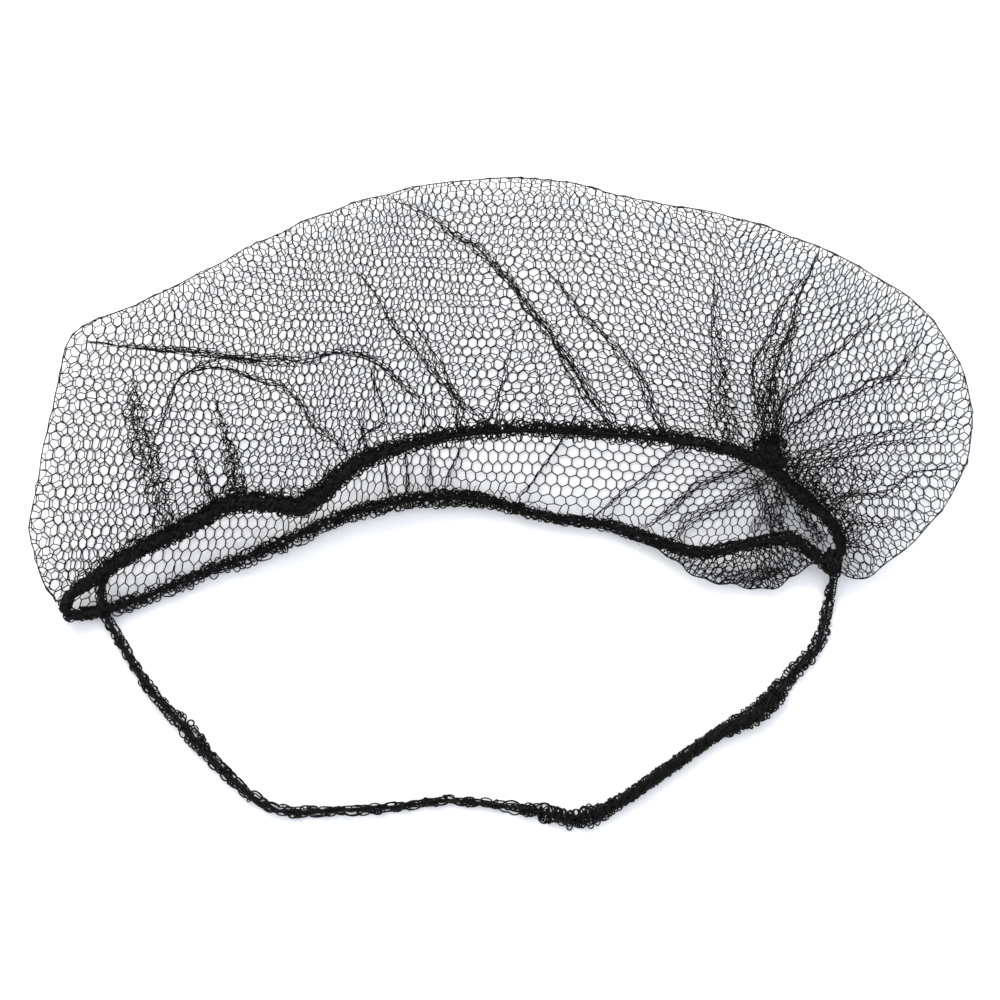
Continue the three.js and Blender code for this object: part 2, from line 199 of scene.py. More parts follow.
# A tuck: half width at its start and end, how tightly the cloth is squeezed across it, where its
# crease lies across it from -1 to 1 or None for a crumpled band, how many layers lie in it, how
# many strands run along its ridge, how much cloth it draws in, and its centre line in plan
Tuck = namedtuple("Tuck", "start end squeeze crease layers lines drawn route")
UPPER_TUCKS = [
    # The long fold of the left lobe, with its end and its second crease
    Tuck(0.9, 1.2, 0.24, 0.5, 1, 2, 2.5, [
        (-110, 41), (-91, 37.5), (-70, 35), (-52, 33), (-40, 34), (-33, 32), (-24, 25), (-20, 21)]),
    Tuck(0.9, 1, 0.4, 0, 1, 1, 1, [(-20, 22), (-19.5, 19), (-20, 14)]),
    Tuck(0.7, 0.9, 0.3, 0.3, 1, 1, 1, [(-97, 38), (-80, 35), (-66, 33), (-52, 31)]),
    # The arch above the left end of the upper rim, and its second crease
    Tuck(0.7, 1.3, 0.33, 0.4, 1, 2, 2, [
        (-91, 5), (-88.5, 11), (-86.3, 18.5), (-85, 23), (-83, 28), (-78.5, 30.5), (-69.5, 30.5),
        (-62, 27.5), (-55, 25), (-47, 16), (-39.5, 8.5)]),
    Tuck(0.7, 0.8, 0.35, 0.2, 1, 1, 1, [(-83, 28), (-77, 32), (-69.5, 33.5), (-61.5, 33)]),
    # Two crumpled bands, one below the other, and two short darts at the left end of the rim
    Tuck(2, 4.8, 0.66, None, 2, 0, 6, [(-95.5, 30), (-94, 20), (-91.5, 10), (-89.5, 2)]),
    Tuck(4.4, 2.6, 0.62, None, 2, 0, 3, [(-89.5, 4), (-88, -3), (-86, -9), (-85, -12)]),
    Tuck(0.7, 3.3, 0.55, None, 3, 0, 5, [(-73, 23), (-72, 16.5), (-70, 10.5), (-68.5, 4.5), (-68, -3)]),
    Tuck(0.5, 2.1, 0.45, None, 3, 0, 2.5, [(-80, 11.5), (-77, 5.5), (-75.5, 1), (-73.5, -5)]),
    # Darts left of the middle
    Tuck(0.6, 1.2, 0.35, 0, 1, 1, 3, [
        (-33, 34), (-32, 26), (-30, 19.5), (-30, 17), (-32, 15), (-35, 13), (-37, 8)]),
    Tuck(0.6, 1.6, 0.3, 0.5, 1, 1, 4, [(-38.5, 59.5), (-25.5, 39), (-13.5, 25), (-10.5, 21), (-9, 14)]),
    Tuck(0.5, 1.8, 0.4, 0, 1, 1, 2, [(-24, 45), (-12.5, 25), (-8, 20), (-2, 13.5)]),
    Tuck(0.3, 0.8, 0.35, 0, 1, 1, 1.5, [(2, 31), (1.5, 27.5), (-0.5, 22.5), (-4, 14)]),
    # Long darts in the middle
    Tuck(0.8, 1.6, 0.24, 0.6, 1, 2, 4, [(-29, 81), (-5, 63), (8, 46), (23, 25), (30, 13)]),
    Tuck(0.6, 1.2, 0.3, 0.4, 1, 1, 2, [(-14, 70), (3, 52), (13, 37), (24, 19)]),
    Tuck(0.7, 1.6, 0.28, 0.5, 1, 1, 4, [(9, 60), (26, 39), (36, 28), (43, 12)]),
    # The crumpled band right of the middle, its foot and its edge
    Tuck(0.8, 4, 0.6, None, 1, 0, 5, [
        (56, 59.5), (56, 48), (56, 36.5), (57, 26.5), (58, 18), (60.5, 12)]),
    Tuck(1.4, 3.6, 0.6, None, 1, 0, 0, [(56, 35), (57, 26.5), (58, 18), (60.5, 11)]),
    Tuck(0.4, 0.9, 0.4, 0, 1, 1, 1, [(56, 58), (55, 48), (54.5, 36.5), (54, 26.5), (54, 13)]),
    # Folds that run down to the knot
    Tuck(0.6, 1.4, 0.36, 0, 1, 2, 3, [
        (85, 66.5), (81, 58.5), (76, 51), (72, 45), (69, 39), (66.5, 33), (65, 27.5), (65, 22.5),
        (66.5, 16)]),
    Tuck(0.7, 1.6, 0.42, 0.2, 1, 1, 4, [
        (84.5, 64.5), (81, 56), (78.5, 50.5), (74.5, 38), (70.5, 29), (69, 22), (68.5, 12)]),
    Tuck(0.5, 1.2, 0.45, 0.2, 1, 1, 1, [(79, 49), (77, 44), (75, 36.5), (74, 28), (72, 18), (70.5, 12)]),
    Tuck(0.8, 4.3, 0.7, None, 1, 0, 4, [(80.5, 54.5), (75.5, 43.5), (71.5, 34), (69.5, 27)]),
    Tuck(4.3, 3.6, 0.6, None, 2, 0, 2, [(69.5, 29), (69.2, 21.5), (69, 15), (69.5, 10)]),
    # Rays that fan out from the knot into the right lobe
    Tuck(0.8, 2.2, 0.42, 0.3, 1, 1, 5, [
        (101, 47), (92.5, 40), (85, 33.5), (77.5, 26), (73.5, 21), (71.5, 13)]),
    Tuck(0.6, 1.8, 0.36, 0.4, 1, 1, 5, [
        (112, 45), (109.5, 39), (106, 34), (101, 29.5), (93, 24.5), (83.5, 20.5), (73, 13)]),
    Tuck(0.5, 0.9, 0.45, 0, 1, 1, 1.5, [(122, 29.5), (114.5, 30), (106.5, 29.5), (97, 27)]),
    Tuck(0.6, 2.2, 0.5, 0.2, 1, 0, 4, [(119.5, 19.5), (109, 17), (99, 14), (88, 11), (75, 6)]),
    Tuck(0.6, 2.4, 0.5, 0.2, 1, 0, 4, [(116.5, 15), (107, 12.5), (96.5, 10), (86.5, 7), (76, 3)]),
    Tuck(0.6, 2.2, 0.48, 0.2, 1, 1, 4, [
        (119.5, 7.5), (112, 5.5), (105, 2.5), (99, -1), (92.5, -3), (84, -3)]),
    Tuck(0.6, 1.8, 0.5, 0.2, 1, 0, 2, [(110, -5), (101, -8.5), (90, -8)]),
    Tuck(2.5, 6, 0.75, None, 1, 0, 0, [(99, 4), (89, 2.5), (79, 2)]),
    # A faint fork in the middle
    Tuck(0.4, 1, 0.4, 0, 1, 0, 1.5, [(9, 48), (4, 39), (0, 24), (0, 14)]),
    Tuck(0.4, 0.9, 0.4, 0, 1, 0, 1.5, [(7, 42), (9, 32), (12, 16)]),
]
LOWER_TUCKS = [
    # Creases seen through the mouth
    Tuck(0.5, 0.8, 0.3, 0.4, 1, 1, 1, [(22, 27), (16.5, 16), (4, -2)]),
    Tuck(0.6, 0.9, 0.3, 0.4, 1, 1, 1.2, [(56, 22), (46, 13), (37, 5), (24, -6)]),
    Tuck(1.7, 1.8, 0.4, 0.3, 1, 2, 2.5, [(36, -9), (50, 2), (64, 9), (72, 11)]),
    Tuck(2.8, 2.2, 0.5, 0.2, 1, 1, 2.5, [(40, -13), (50, -6), (62, 1), (72, 6)]),
    Tuck(2.4, 3.2, 0.6, None, 2, 0, 3, [(74, 8), (73, -3), (72, -11)]),
    Tuck(0.6, 1, 0.36, 0, 1, 1, 1, [(-19, 15), (-18.5, 1)]),
    Tuck(0.6, 1, 0.34, 0.3, 1, 1, 1, [(-9.5, 18), (-14.5, 1)]),
    Tuck(0.5, 0.9, 0.4, 0, 1, 1, 1, [(-25, 14), (-24.5, 0)]),
    Tuck(0.4, 0.9, 0.4, 0, 1, 1, 1, [(-30.5, 12), (-29, -1)]),
    Tuck(2.4, 2, 0.55, None, 2, 0, 1, [(75, 5), (80, -4), (84, -13)]),
    Tuck(1, 2, 0.45, 0.2, 1, 1, 2, [(66, 9), (69, -2), (66, -11)]),
    # Creases in the slack below the lower rim
    Tuck(1, 2, 0.45, None, 1, 0, 1, [(50, -18), (62, -20), (76, -19)]),
    Tuck(0.8, 1.4, 0.45, 0.3, 1, 1, 1, [(54, -20), (66, -22), (74, -18)]),
]
# Small gathers where the net is sewn to a rim, as rows of: share of the rim where they start
# and end, how far apart they are, their shortest and longest length
UPPER_GATHERS = [
    (0, 0.12, 3, 3, 8), (0.12, 0.26, 6, 4, 10), (0.26, 0.5, 3.2, 4, 14), (0.5, 0.82, 6, 4, 12),
    (0.84, 0.99, 4, 5, 18),
]
LOWER_GATHERS = [(0.05, 0.3, 7, 3, 7), (0.3, 0.52, 3.6, 4, 10), (0.52, 0.97, 7, 3, 8)]
# Crumpled bands along a rim: distance from it, half width, layers, shares where they start and end
UPPER_FRILLS = [(2.3, 1.7, 2, 0.0, 0.36), (2.0, 1.3, 1, 0.36, 0.8), (3.2, 2.8, 2, 0.82, 1.0)]
LOWER_FRILLS = [(1.2, 1.2, 1, 0.34, 0.97)]

# The knot on the upper rim and the one at the right corner: middle and half size
KNOT_MIDDLE, KNOT_SIZE = (69.8, 9.6, 15), (3.0, 2.6, 2.6)
RIGHT_MIDDLE, RIGHT_SIZE = (86.7, -17.5, 4.4), (2.7, 3.9, 2.8)
# Lumps of the first, by place beside its middle and half size, and the height above its middle
# and radius of the rings of loops on it
KNOT_LUMPS = [
    ((-2.8, -1.4, 0), (2.2, 1.7, 2.0)),
    ((1.2, 3.0, 0.2), (1.3, 1.8, 1.5)),
    ((2.4, -2.6, -0.4), (2.2, 2.0, 2.0)),
    ((-1.8, 2.2, 0), (1.2, 1.5, 1.4)),
]
KNOT_RINGS = [(0.4, 3.3), (1.2, 2.6), (2.2, 1.4)]
# The left corner: a loop of yarn round the ends of both rims, a bar across it, and their cores
LEFT_LOOP = [
    (-106.5, -23, 6), (-110.3, -25.2, 5.6), (-112.8, -28.6, 4.8),
    (-111.6, -31.2, 3.6), (-108.5, -31, 2.8), (-104, -30, 2.2),
]
LEFT_BAR = [(-103, -21, 6), (-103.6, -25, 5), (-103.4, -29.5, 3)]
LEFT_LOOP_CORE = [(0, 1.6), (0.4, 1.35), (1, 1.3)]
LEFT_BAR_CORE = [(0, 1.5), (0.5, 0.9), (1, 1.5)]

# Darkest and lightest colour of each material
ELASTIC_COLOURS = (0.0003, 0.0003, 0.0004), (0.0105, 0.010, 0.010)
NYLON_COLOURS = (0.001, 0.001, 0.0012), (0.004, 0.004, 0.0045)
TABLE_COLOURS = (0.86, 0.87, 0.88), (0.88, 0.885, 0.89)
# Camera and light: sensor and lens in millimetres, places and sizes in metres
CAMERA_DISTANCE, CAMERA_ELEVATION = 0.623, math.radians(78)
CAMERA_LENS, CAMERA_SENSOR = 85, 36
WORLD_COLOUR, WORLD_STRENGTH = (0.93, 0.945, 1.0, 1), 1.3
LAMP_PLACE, LAMP_SIZE = (-0.35, 0.95, 0.75), (0.9, 0.6)
LAMP_WATTS, LAMP_COLOUR = 14.0, (1.0, 0.97, 0.9)


# ---------------- plain geometry
def smooth_step(x):
    x = np.clip(x, 0, 1)
    return x * x * (3 - 2 * x)


def spline(points, count):
    """Points on a smooth curve through the given ones, as many on each stretch of it."""
    p = np.array(points, float)
    last = len(p) - 1
    t = np.clip(np.linspace(0, last, count), 0, last - 1e-9)
    i = np.floor(t).astype(int)
    f = (t - i)[:, None]
    q = np.vstack([2 * p[0] - p[1], p, 2 * p[-1] - p[-2]])
    a, b, c, d = q[i], q[i + 1], q[i + 2], q[i + 3]
    square = 2 * a - 5 * b + 4 * c - d
    cube = 3 * b - 3 * c + d - a
    return 0.5 * (2 * b + (c - a) * f + square * f**2 + cube * f**3)


def arc_lengths(line):
    return np.r_[0, np.cumsum(np.linalg.norm(np.diff(line, axis=0), axis=1))]


def along(line, where):
    """Points of a line at the given arc lengths."""
    s = arc_lengths(line)
    return np.column_stack([np.interp(where, s, line[:, k]) for k in range(line.shape[1])])


def unit(v):
    return v / np.maximum(np.linalg.norm(v, axis=-1, keepdims=True), 1e-12)


def wander(x, scale, rng, waves=24):
    """Smooth seeded noise of about unit size over points x, with bumps about scale apart."""
    x = np.atleast_2d(x.T).T
    out = np.zeros(len(x))
    for _ in range(waves):
        heading = rng.normal(size=x.shape[1])
        heading /= np.linalg.norm(heading)
        wave = 2 * np.pi / (scale * rng.uniform(0.7, 1.6))
        out += np.sin(wave * (x @ heading) + rng.uniform(0, 2 * np.pi))
    return out / np.sqrt(waves / 2)


def inside(points, polygon):
    x, y = points[:, 0], points[:, 1]
    odd = np.zeros(len(points), bool)
    for (x0, y0), (x1, y1) in zip(polygon, np.roll(polygon, -1, axis=0)):
        if y0 == y1:
            continue
        crossing = ((y0 <= y) & (y1 > y)) | ((y1 <= y) & (y0 > y))
        odd ^= crossing & (x < x0 + (y - y0) * (x1 - x0) / (y1 - y0))
    return odd


def nearest(points, line):
    """Distance from each point to a line of points, and the index of the nearest one."""
    best = np.full(len(points), 1e9)
    index = np.zeros(len(points), int)
    for k, q in enumerate(line):
        d = ((points - q) ** 2).sum(1)
        closer = d < best
        best[closer] = d[closer]
        index[closer] = k
    return np.sqrt(best), index


def side_of(line):
    """Unit vectors to the right of a plan line."""
    t = unit(np.gradient(line, axis=0))
    return np.column_stack([t[:, 1], -t[:, 0]])


def joined(parts):
    """Several (points, strands or faces) as one."""
    points, faces, start = [], [], 0
    for p, f in parts:
        points.append(p)
        faces.append(f + start)
        start += len(p)
    return np.vstack(points), np.vstack(faces)


# ---------------- lines of the pouch
upper_rim = spline(SECTIONS[:, 0:3] - MIDDLE, 260)
lower_rim = spline(SECTIONS[:, 5:8] - MIDDLE, 260)
lower_rim_plan = spline(SECTIONS[:, 5:7] - MIDDLE[:2], 220)
right_hem = np.array(RIGHT_HEM) - MIDDLE[:2]

edge_line = spline(SECTIONS[:, 3:5] - MIDDLE[:2], 220)
edge_bumps = wander(arc_lengths(edge_line), 17, np.random.default_rng(8))
edge_line += EDGE_WANDER * side_of(edge_line) * edge_bumps[:, None]

# The lip of the lower layer, which sags past the lower rim at the right
lip_rows = SECTIONS[:, 5:7] - MIDDLE[:2]
lip_rows[:, 1] += np.minimum(0, SLACK_LEAD - SECTIONS[:, 8])
lip_line = spline(lip_rows, 220)
lip_s = arc_lengths(lip_line)
lip_slack = np.interp(lip_s / lip_s[-1], np.linspace(0, 1, len(SECTIONS)), SECTIONS[:, 8])
lip_scallops = LIP_SCALLOP * smooth_step(lip_slack / 6) * np.abs(np.sin(np.pi * lip_s / LIP_WAVE))
lip_line += side_of(lip_line) * lip_scallops[:, None]

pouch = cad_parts["net_pouch"].data
pouch_faces = [tuple(p.vertices) for p in pouch.polygons]
pouch_tree = BVHTree.FromPolygons([v.co.copy() for v in pouch.vertices], pouch_faces)


def pouch_height(points, above, rim):
    """Height of the pouch's cloth in plan points, seen from above or from below."""
    z = np.empty(len(points))
    start, heading = (0.1, -1) if above else (-0.1, 1)
    for k, (x, y) in enumerate(points):
        hit = pouch_tree.ray_cast(Vector((x * MM, y * MM, start)), Vector((0, 0, heading)))[0]
        z[k] = hit.z / MM + CLOTH_INSET * heading if hit else EDGE_Z
    distance, index = nearest(points, rim[:, :2])
    if rim is upper_rim:
        bare = (distance < BARE_REACH) & (z < BARE_BELOW * rim[index, 2])
        z = np.where(bare, rim[index, 2] + BARE_RISE * distance, z)
    away = smooth_step((distance - RIM_HOLD) / RIM_FADE)
    return rim[index, 2] * (1 - away) + z * away


# ---------------- the net
def hex_net(low, high, pitch, turn):
    """Nodes and strands of a hexagonal net over a box in plan."""
    c, s = pitch * math.cos(turn), pitch * math.sin(turn)
    r = math.sqrt(0.75)
    steps = np.array([[c, s], [c * 0.5 - s * r, s * 0.5 + c * r]])
    corners = np.array([(x, y) for x in (low[0], high[0]) for y in (low[1], high[1])])
    cells = corners @ np.linalg.inv(steps)
    first, last = np.floor(cells.min(0)).astype(int), np.ceil(cells.max(0)).astype(int)
    i, j = np.meshgrid(np.arange(first[0], last[0] + 1), np.arange(first[1], last[1] + 1), indexing="ij")
    a = i[..., None] * steps[0] + j[..., None] * steps[1]
    b = a + (steps[0] + steps[1]) / 3
    ia = np.arange(i.size).reshape(i.shape)
    ib = ia + i.size
    pairs = [(ia, ib), (ia[1:], ib[:-1]), (ia[:, 1:], ib[:, :-1])]
    strands = np.concatenate([np.column_stack([p.ravel(), q.ravel()]) for p, q in pairs])
    nodes = np.concatenate([a.reshape(-1, 2), b.reshape(-1, 2)])
    return kept_part(nodes, strands, np.all((nodes >= low) & (nodes <= high), axis=1))


def kept_part(nodes, strands, kept):
    """A net's kept nodes, and the strands between them."""
    strands = strands[kept[strands].all(1)]
    return nodes[kept], (np.cumsum(kept) - 1)[strands]


def used_part(strands, count):
    """Which of a net's nodes have strands, and the strands counted by these alone."""
    used = np.unique(strands)
    place = np.full(count, -1)
    place[used] = np.arange(len(used))
    return used, place[strands]


def trim(nodes, strands, polygon):
    """Cuts a net along a polygon and joins its cut ends by a strand round the border."""
    within = inside(nodes, polygon)
    count = within[strands].sum(1)
    cut = strands[count == 1]
    inner = np.where(within[cut[:, 0]], cut[:, 0], cut[:, 1])
    outer = np.where(within[cut[:, 0]], cut[:, 1], cut[:, 0])
    p, q = nodes[inner].copy(), nodes[outer].copy()
    for _ in range(12):
        middle = (p + q) / 2
        is_in = inside(middle, polygon)[:, None]
        p, q = np.where(is_in, middle, p), np.where(is_in, q, middle)
    ends = len(nodes) + np.arange(len(cut))
    closed = np.vstack([polygon, polygon[:1]])
    ring = along(closed, np.linspace(0, arc_lengths(closed)[-1], 3000)[:-1])
    order = np.argsort(nearest(p, ring)[1], kind="stable")
    border = np.column_stack([ends[order], ends[np.roll(order, -1)]])
    strands = np.vstack([strands[count == 2], np.column_stack([inner, ends]), border])
    nodes = np.vstack([nodes, p])
    used, strands = used_part(strands, len(nodes))
    return nodes[used], strands


def fold_coordinates(points, line, reach):
    """For points near a fold line: which they are, signed distance, index, overshoot and side."""
    near = np.all((points >= line.min(0) - reach) & (points <= line.max(0) + reach), axis=1)
    chosen = np.flatnonzero(near)
    _, index = nearest(points[chosen], line)
    offset = points[chosen] - line[index]
    side = side_of(line)[index]
    distance = (offset * side).sum(1)
    overshoot = np.abs(offset[:, 0] * side[:, 1] - offset[:, 1] * side[:, 0])
    overshoot = np.where((index == 0) | (index == len(line) - 1), overshoot, 0)
    return chosen, distance, index, overshoot, side


def draw_in(points, tucks, rng):
    """Moves cloth towards each fold, which bunches the net on it and spreads it beside it."""
    shift = np.zeros_like(points)
    uneven = wander(points, 7, rng)
    for tuck in tucks:
        if tuck.drawn == 0:
            continue
        line = spline(np.array(tuck.route, float) - MIDDLE[:2], 80)
        reach = DRAW_REACH + DRAW_WIDER * tuck.drawn
        chosen, distance, index, overshoot, side = fold_coordinates(points, line, reach)
        t = index / (len(line) - 1)
        taken = tuck.drawn * (0.3 + 0.7 * t) * np.exp(-((overshoot / (reach * 0.25)) ** 2))
        taken *= 1 + 0.2 * uneven[chosen]
        crease = (tuck.start + (tuck.end - tuck.start) * t) * CREASE_WIDTH + 0.35 * taken
        half = reach / 2
        narrow = 0.5 * np.tanh(2 * distance / crease)
        wide = 0.5 * np.sin(np.pi / 2 * np.clip(distance / half, -1, 1))
        fade = 1 - smooth_step((np.abs(distance) - half * 0.8) / (half * 0.6))
        shift[chosen] += (taken * (wide - narrow) * fade)[:, None] * side
    return shift


def shape_lobes(nodes):
    """Stretches the cells of the left lobe, and parts or gathers the rows beside the knot."""
    lobe = smooth_step((LOBE_FROM - nodes[:, 0]) / LOBE_BLEND)
    nodes[:, 0] -= LOBE_STRETCH * np.maximum(0, LOBE_FROM - nodes[:, 0])
    nodes[:, 1] *= 1 + LOBE_STRETCH * lobe
    knot_y = KNOT_Y - MIDDLE[1]
    spread = np.interp(nodes[:, 0], ROW_SPREAD[:, 0], ROW_SPREAD[:, 1])
    nodes[:, 1] = knot_y + (nodes[:, 1] - knot_y) * spread


def net_layer(
    polygon, border, rim, tucks, pitch, turn, seed, uneven=1.0, stretch=(1, 1), lean=0, cells=None
):
    """One layer of the net in plan, trimmed to its polygon."""
    rng = np.random.default_rng(seed)
    nodes, strands = hex_net(polygon.min(0) - NET_SPARE, polygon.max(0) + NET_SPARE, pitch, turn)
    nodes *= stretch
    nodes[:, 0] += lean * nodes[:, 1]
    if cells is not None:
        place = np.arange(-200, 201)
        laid = np.cumsum(1 / np.interp(place, cells[:, 0], cells[:, 1]))
        nodes[:, 0] = np.interp(nodes[:, 0], laid - laid[200], place)
    low, high = polygon.min(0) - NET_MARGIN, polygon.max(0) + NET_MARGIN
    nodes, strands = kept_part(nodes, strands, np.all((nodes > low) & (nodes < high), axis=1))
    shape_lobes(nodes)
    flat = nodes.copy()
    nodes = nodes + rng.normal(0, KNOT_JITTER * pitch * uneven, nodes.shape)
    for axis in range(2):
        slow, quick = (size * wander(flat, wave, rng) for size, wave in (SLOW_DRIFT, QUICK_DRIFT))
        nodes[:, axis] += uneven * (slow + quick)
    if border is not None:
        distance, index = nearest(nodes, border)
        falloff = np.where(inside(nodes, polygon), np.exp(-distance / EDGE_PULL_REACH), 1)
        nodes -= side_of(border)[index] * (EDGE_PULL * falloff)[:, None]
    for x, y, drawn, reach in PINCHES:
        away = nodes - (x, y) + MIDDLE[:2]
        r = np.linalg.norm(away, axis=1, keepdims=True) + 1e-6
        nodes -= away / r * drawn * (1 - np.exp(-r / reach)) * np.exp(-((r / PINCH_END) ** 2))
    nodes += draw_in(nodes, tucks, rng)
    if rim is not None:
        crumple = CRUMPLE * uneven * np.exp(-nearest(nodes, rim[::2, :2])[0] / CRUMPLE_REACH)
        for axis in range(2):
            nodes[:, axis] += crumple * wander(flat, CRUMPLE_WAVE, rng)
    nodes, strands = trim(nodes, strands, polygon)
    if border is not None:
        cut = nearest(nodes, border)[0] < 0.3
        nodes[cut] += rng.normal(0, EDGE_UNEVEN, (cut.sum(), 2))
    return nodes, strands


def creased(across, crease):
    """Squeezes cloth coordinates from -1 to 1 so that they crowd together at the crease, if any."""
    def crowd(x):
        return np.sign(x - crease) * np.abs(x - crease) ** CREASE_POWER

    if crease is None:
        return across
    low, high = crowd(-1.0), crowd(1.0)
    return 2 * (crowd(across) - low) / (high - low) - 1


def taper(t):
    """Width of a tuck by the way along it: narrow at its start and whole from 0.3 on."""
    return 0.25 + 0.75 * np.sqrt(smooth_step(np.clip(t, 0, 1) / 0.3))


def lengthwise_runs(length, ridge, count, rng):
    """Strands that lie end to end along the ridge of a fold: (distance along, share across)."""
    runs = []
    for _ in range(count):
        begin = rng.uniform(0, 0.2) * length
        end = rng.uniform(0.85, 1) * length
        x = np.arange(begin, end, 0.9)
        if len(x) < 3:
            continue
        across = ridge + rng.uniform(-0.9, 0.2) + 0.15 * wander(x, 9, rng)
        k = np.arange(len(x) - 1)
        runs.append((np.column_stack([x, np.clip(across, -1, 1)]), np.column_stack([k, k + 1])))
    return joined(runs)


def tuck_layer(tuck, pitch, area, seed):
    """Cloth folded into one tuck: nodes in plan, strands, and how far up the fold each lies."""
    rng = np.random.default_rng(seed)
    line = spline(np.array(tuck.route, float) - MIDDLE[:2], 160)
    s = arc_lengths(line)
    length = s[-1]
    side = side_of(line)
    crumpled = tuck.crease is None
    cloth = max(tuck.start, tuck.end) / tuck.squeeze
    margin = 4 + (0.35 * length if crumpled else 0)
    low, high = np.array([0, -cloth]) - margin, np.array([length, cloth]) + margin
    nodes, strands = hex_net(low, high, pitch, rng.uniform(0, 1))
    nodes += rng.normal(0, 0.1 * pitch, nodes.shape)
    if crumpled:
        nodes[:, 0] = (nodes[:, 0] - length / 2) * BAND_CRUSH + length / 2
        flat = nodes.copy()
        curl = [wander(flat, FRILL_WAVE, rng), wander(flat, FRILL_WAVE, rng) / tuck.squeeze]
        nodes += FRILL_CURL * np.column_stack(curl)
    width = tuck.start + (tuck.end - tuck.start) * np.clip(nodes[:, 0] / length, 0, 1)
    share = nodes[:, 1] * tuck.squeeze / (width * taper(nodes[:, 0] / length))
    within = (np.abs(share) < 1) & (nodes[:, 0] > 0) & (nodes[:, 0] < length)
    share = creased(np.clip(share, -1, 1), tuck.crease)
    if tuck.lines:
        ridge = creased(np.array([tuck.crease]), tuck.crease)[0]
        runs, chains = lengthwise_runs(length, ridge, tuck.lines, rng)
        nodes, strands = joined([(nodes, strands), (runs * (1, 0), chains)])
        share = np.concatenate([share, runs[:, 1]])
        within = np.concatenate([within, np.ones(len(runs), bool)])
    t = np.clip(nodes[:, 0] / length, 0, 1)
    half = (tuck.start + (tuck.end - tuck.start) * t) * taper(t) * (1 + 0.18 * wander(nodes[:, 0], 11, rng))
    sway = np.minimum(0.25 * half, 0.35) * wander(nodes[:, 0], 18, rng)
    sides = np.column_stack([np.interp(nodes[:, 0], s, side[:, k]) for k in range(2)])
    plan = along(line, nodes[:, 0]) + sides * (share * half + sway)[:, None]
    within &= inside(plan, area)
    used, strands = used_part(strands[within[strands].all(1)], len(plan))
    return plan[used], strands, 1 - share[used] ** 2


def rim_gathers(rim, stretches, rng):
    """Small tucks that run from a rim into the net, across the rim more or less."""
    line = rim[:, :2] + MIDDLE[:2]
    s = arc_lengths(line)
    side = -side_of(line)
    tucks = []
    for start, end, spacing, shortest, longest in stretches:
        here = start * s[-1]
        while here < end * s[-1]:
            k = np.searchsorted(s, here)
            lean = rng.uniform(-0.5, 0.5)
            heading = side[k] + lean * np.array([side[k][1], -side[k][0]])
            length = rng.uniform(shortest, longest)
            bend = rng.normal(0, 0.08, 2) * length
            route = [line[k] + heading * length, line[k] + heading * length * 0.5 + bend, line[k]]
            crease, width, squeeze = (rng.uniform(*r) for r in ((-0.5, 0.5), (0.5, 1.3), (0.35, 0.55)))
            tucks.append(Tuck(0.3, width, squeeze, crease, 1, 0, 1.0, route))
            here += spacing * rng.uniform(0.5, 1.5)
    return tucks


def rim_frill(rim, reach, width, layers, start, end):
    """A band of crumpled net that lies along a rim, at a distance from it in plan."""
    line = rim[:, :2] + MIDDLE[:2]
    s = arc_lengths(line)
    beside = line - side_of(line) * reach
    kept = (s >= start * s[-1]) & (s <= end * s[-1])
    return Tuck(width, width, 0.6, None, layers, 0, 0, beside[kept][::6])


def settle(z, strands, rounds, pinned=None):
    """Evens out heights along the strands, apart from pinned ones."""
    held = z.copy()
    for _ in range(rounds):
        total = np.zeros_like(z)
        count = np.zeros_like(z)
        for p, q in ((0, 1), (1, 0)):
            np.add.at(total, strands[:, p], z[strands[:, q]])
            np.add.at(count, strands[:, p], 1)
        z = 0.5 * z + 0.5 * total / np.maximum(count, 1)
        if pinned is not None:
            z = np.where(pinned, held, z)
    return z


def layer_heights(plan, strands, above, rim):
    """Heights of a whole layer, which meets the other one at the outer edge."""
    z = pouch_height(plan, above, rim)
    at_edge = nearest(plan, edge_line)[0] < 0.9
    return settle(np.where(at_edge, EDGE_Z, z), strands, 6, at_edge)


def make_tucks(tucks, above, rim, pitch, area, seed):
    parts = []
    for k, tuck in enumerate(tucks):
        for layer in range(tuck.layers):
            plan, strands, lift = tuck_layer(tuck, pitch, area, seed + 10 * k + layer)
            if len(plan) == 0:
                continue
            z = settle(pouch_height(plan, above, rim), strands, 4)
            z += TUCK_CLEAR + TUCK_LIFT * lift * (1 if above else LOWER_LIFT) + CLOTH_STEP * layer
            parts.append((np.column_stack([plan, z]), strands))
    return joined(parts)


# ---------------- meshes
def strand_radius(points, rims):
    """Strands are a little thicker in the two lobes, and more so where they meet a rim."""
    right = smooth_step((points[:, 0] - 50) / 40)
    left = smooth_step((LOBE_FROM - points[:, 0]) / LOBE_BLEND)
    radius = 1 + 0.04 * right + 0.05 * left
    for rim in rims:
        radius += 0.3 * np.exp(-nearest(points[:, :2], rim[::3, :2])[0] / 2.5)
    return STRAND_RADIUS * radius


def add_object(name, data):
    thing = bpy.data.objects.new(name, data)
    bpy.context.collection.objects.link(thing)
    return thing


def add_mesh(name, points, faces, material):
    mesh = bpy.data.meshes.new(name)
    faces = np.asarray(faces, np.int32)
    size = faces.shape[1]
    mesh.vertices.add(len(points))
    mesh.vertices.foreach_set("co", (np.asarray(points) * MM).astype(np.float32).ravel())
    mesh.loops.add(faces.size)
    mesh.loops.foreach_set("vertex_index", faces.ravel())
    mesh.polygons.add(len(faces))
    mesh.polygons.foreach_set("loop_start", np.arange(0, faces.size, size, dtype=np.int32))
    mesh.polygons.foreach_set("use_smooth", np.ones(len(faces), bool))
    mesh.update(calc_edges=True)
    mesh.validate()
    mesh.materials.append(material)
    return add_object(name, mesh)


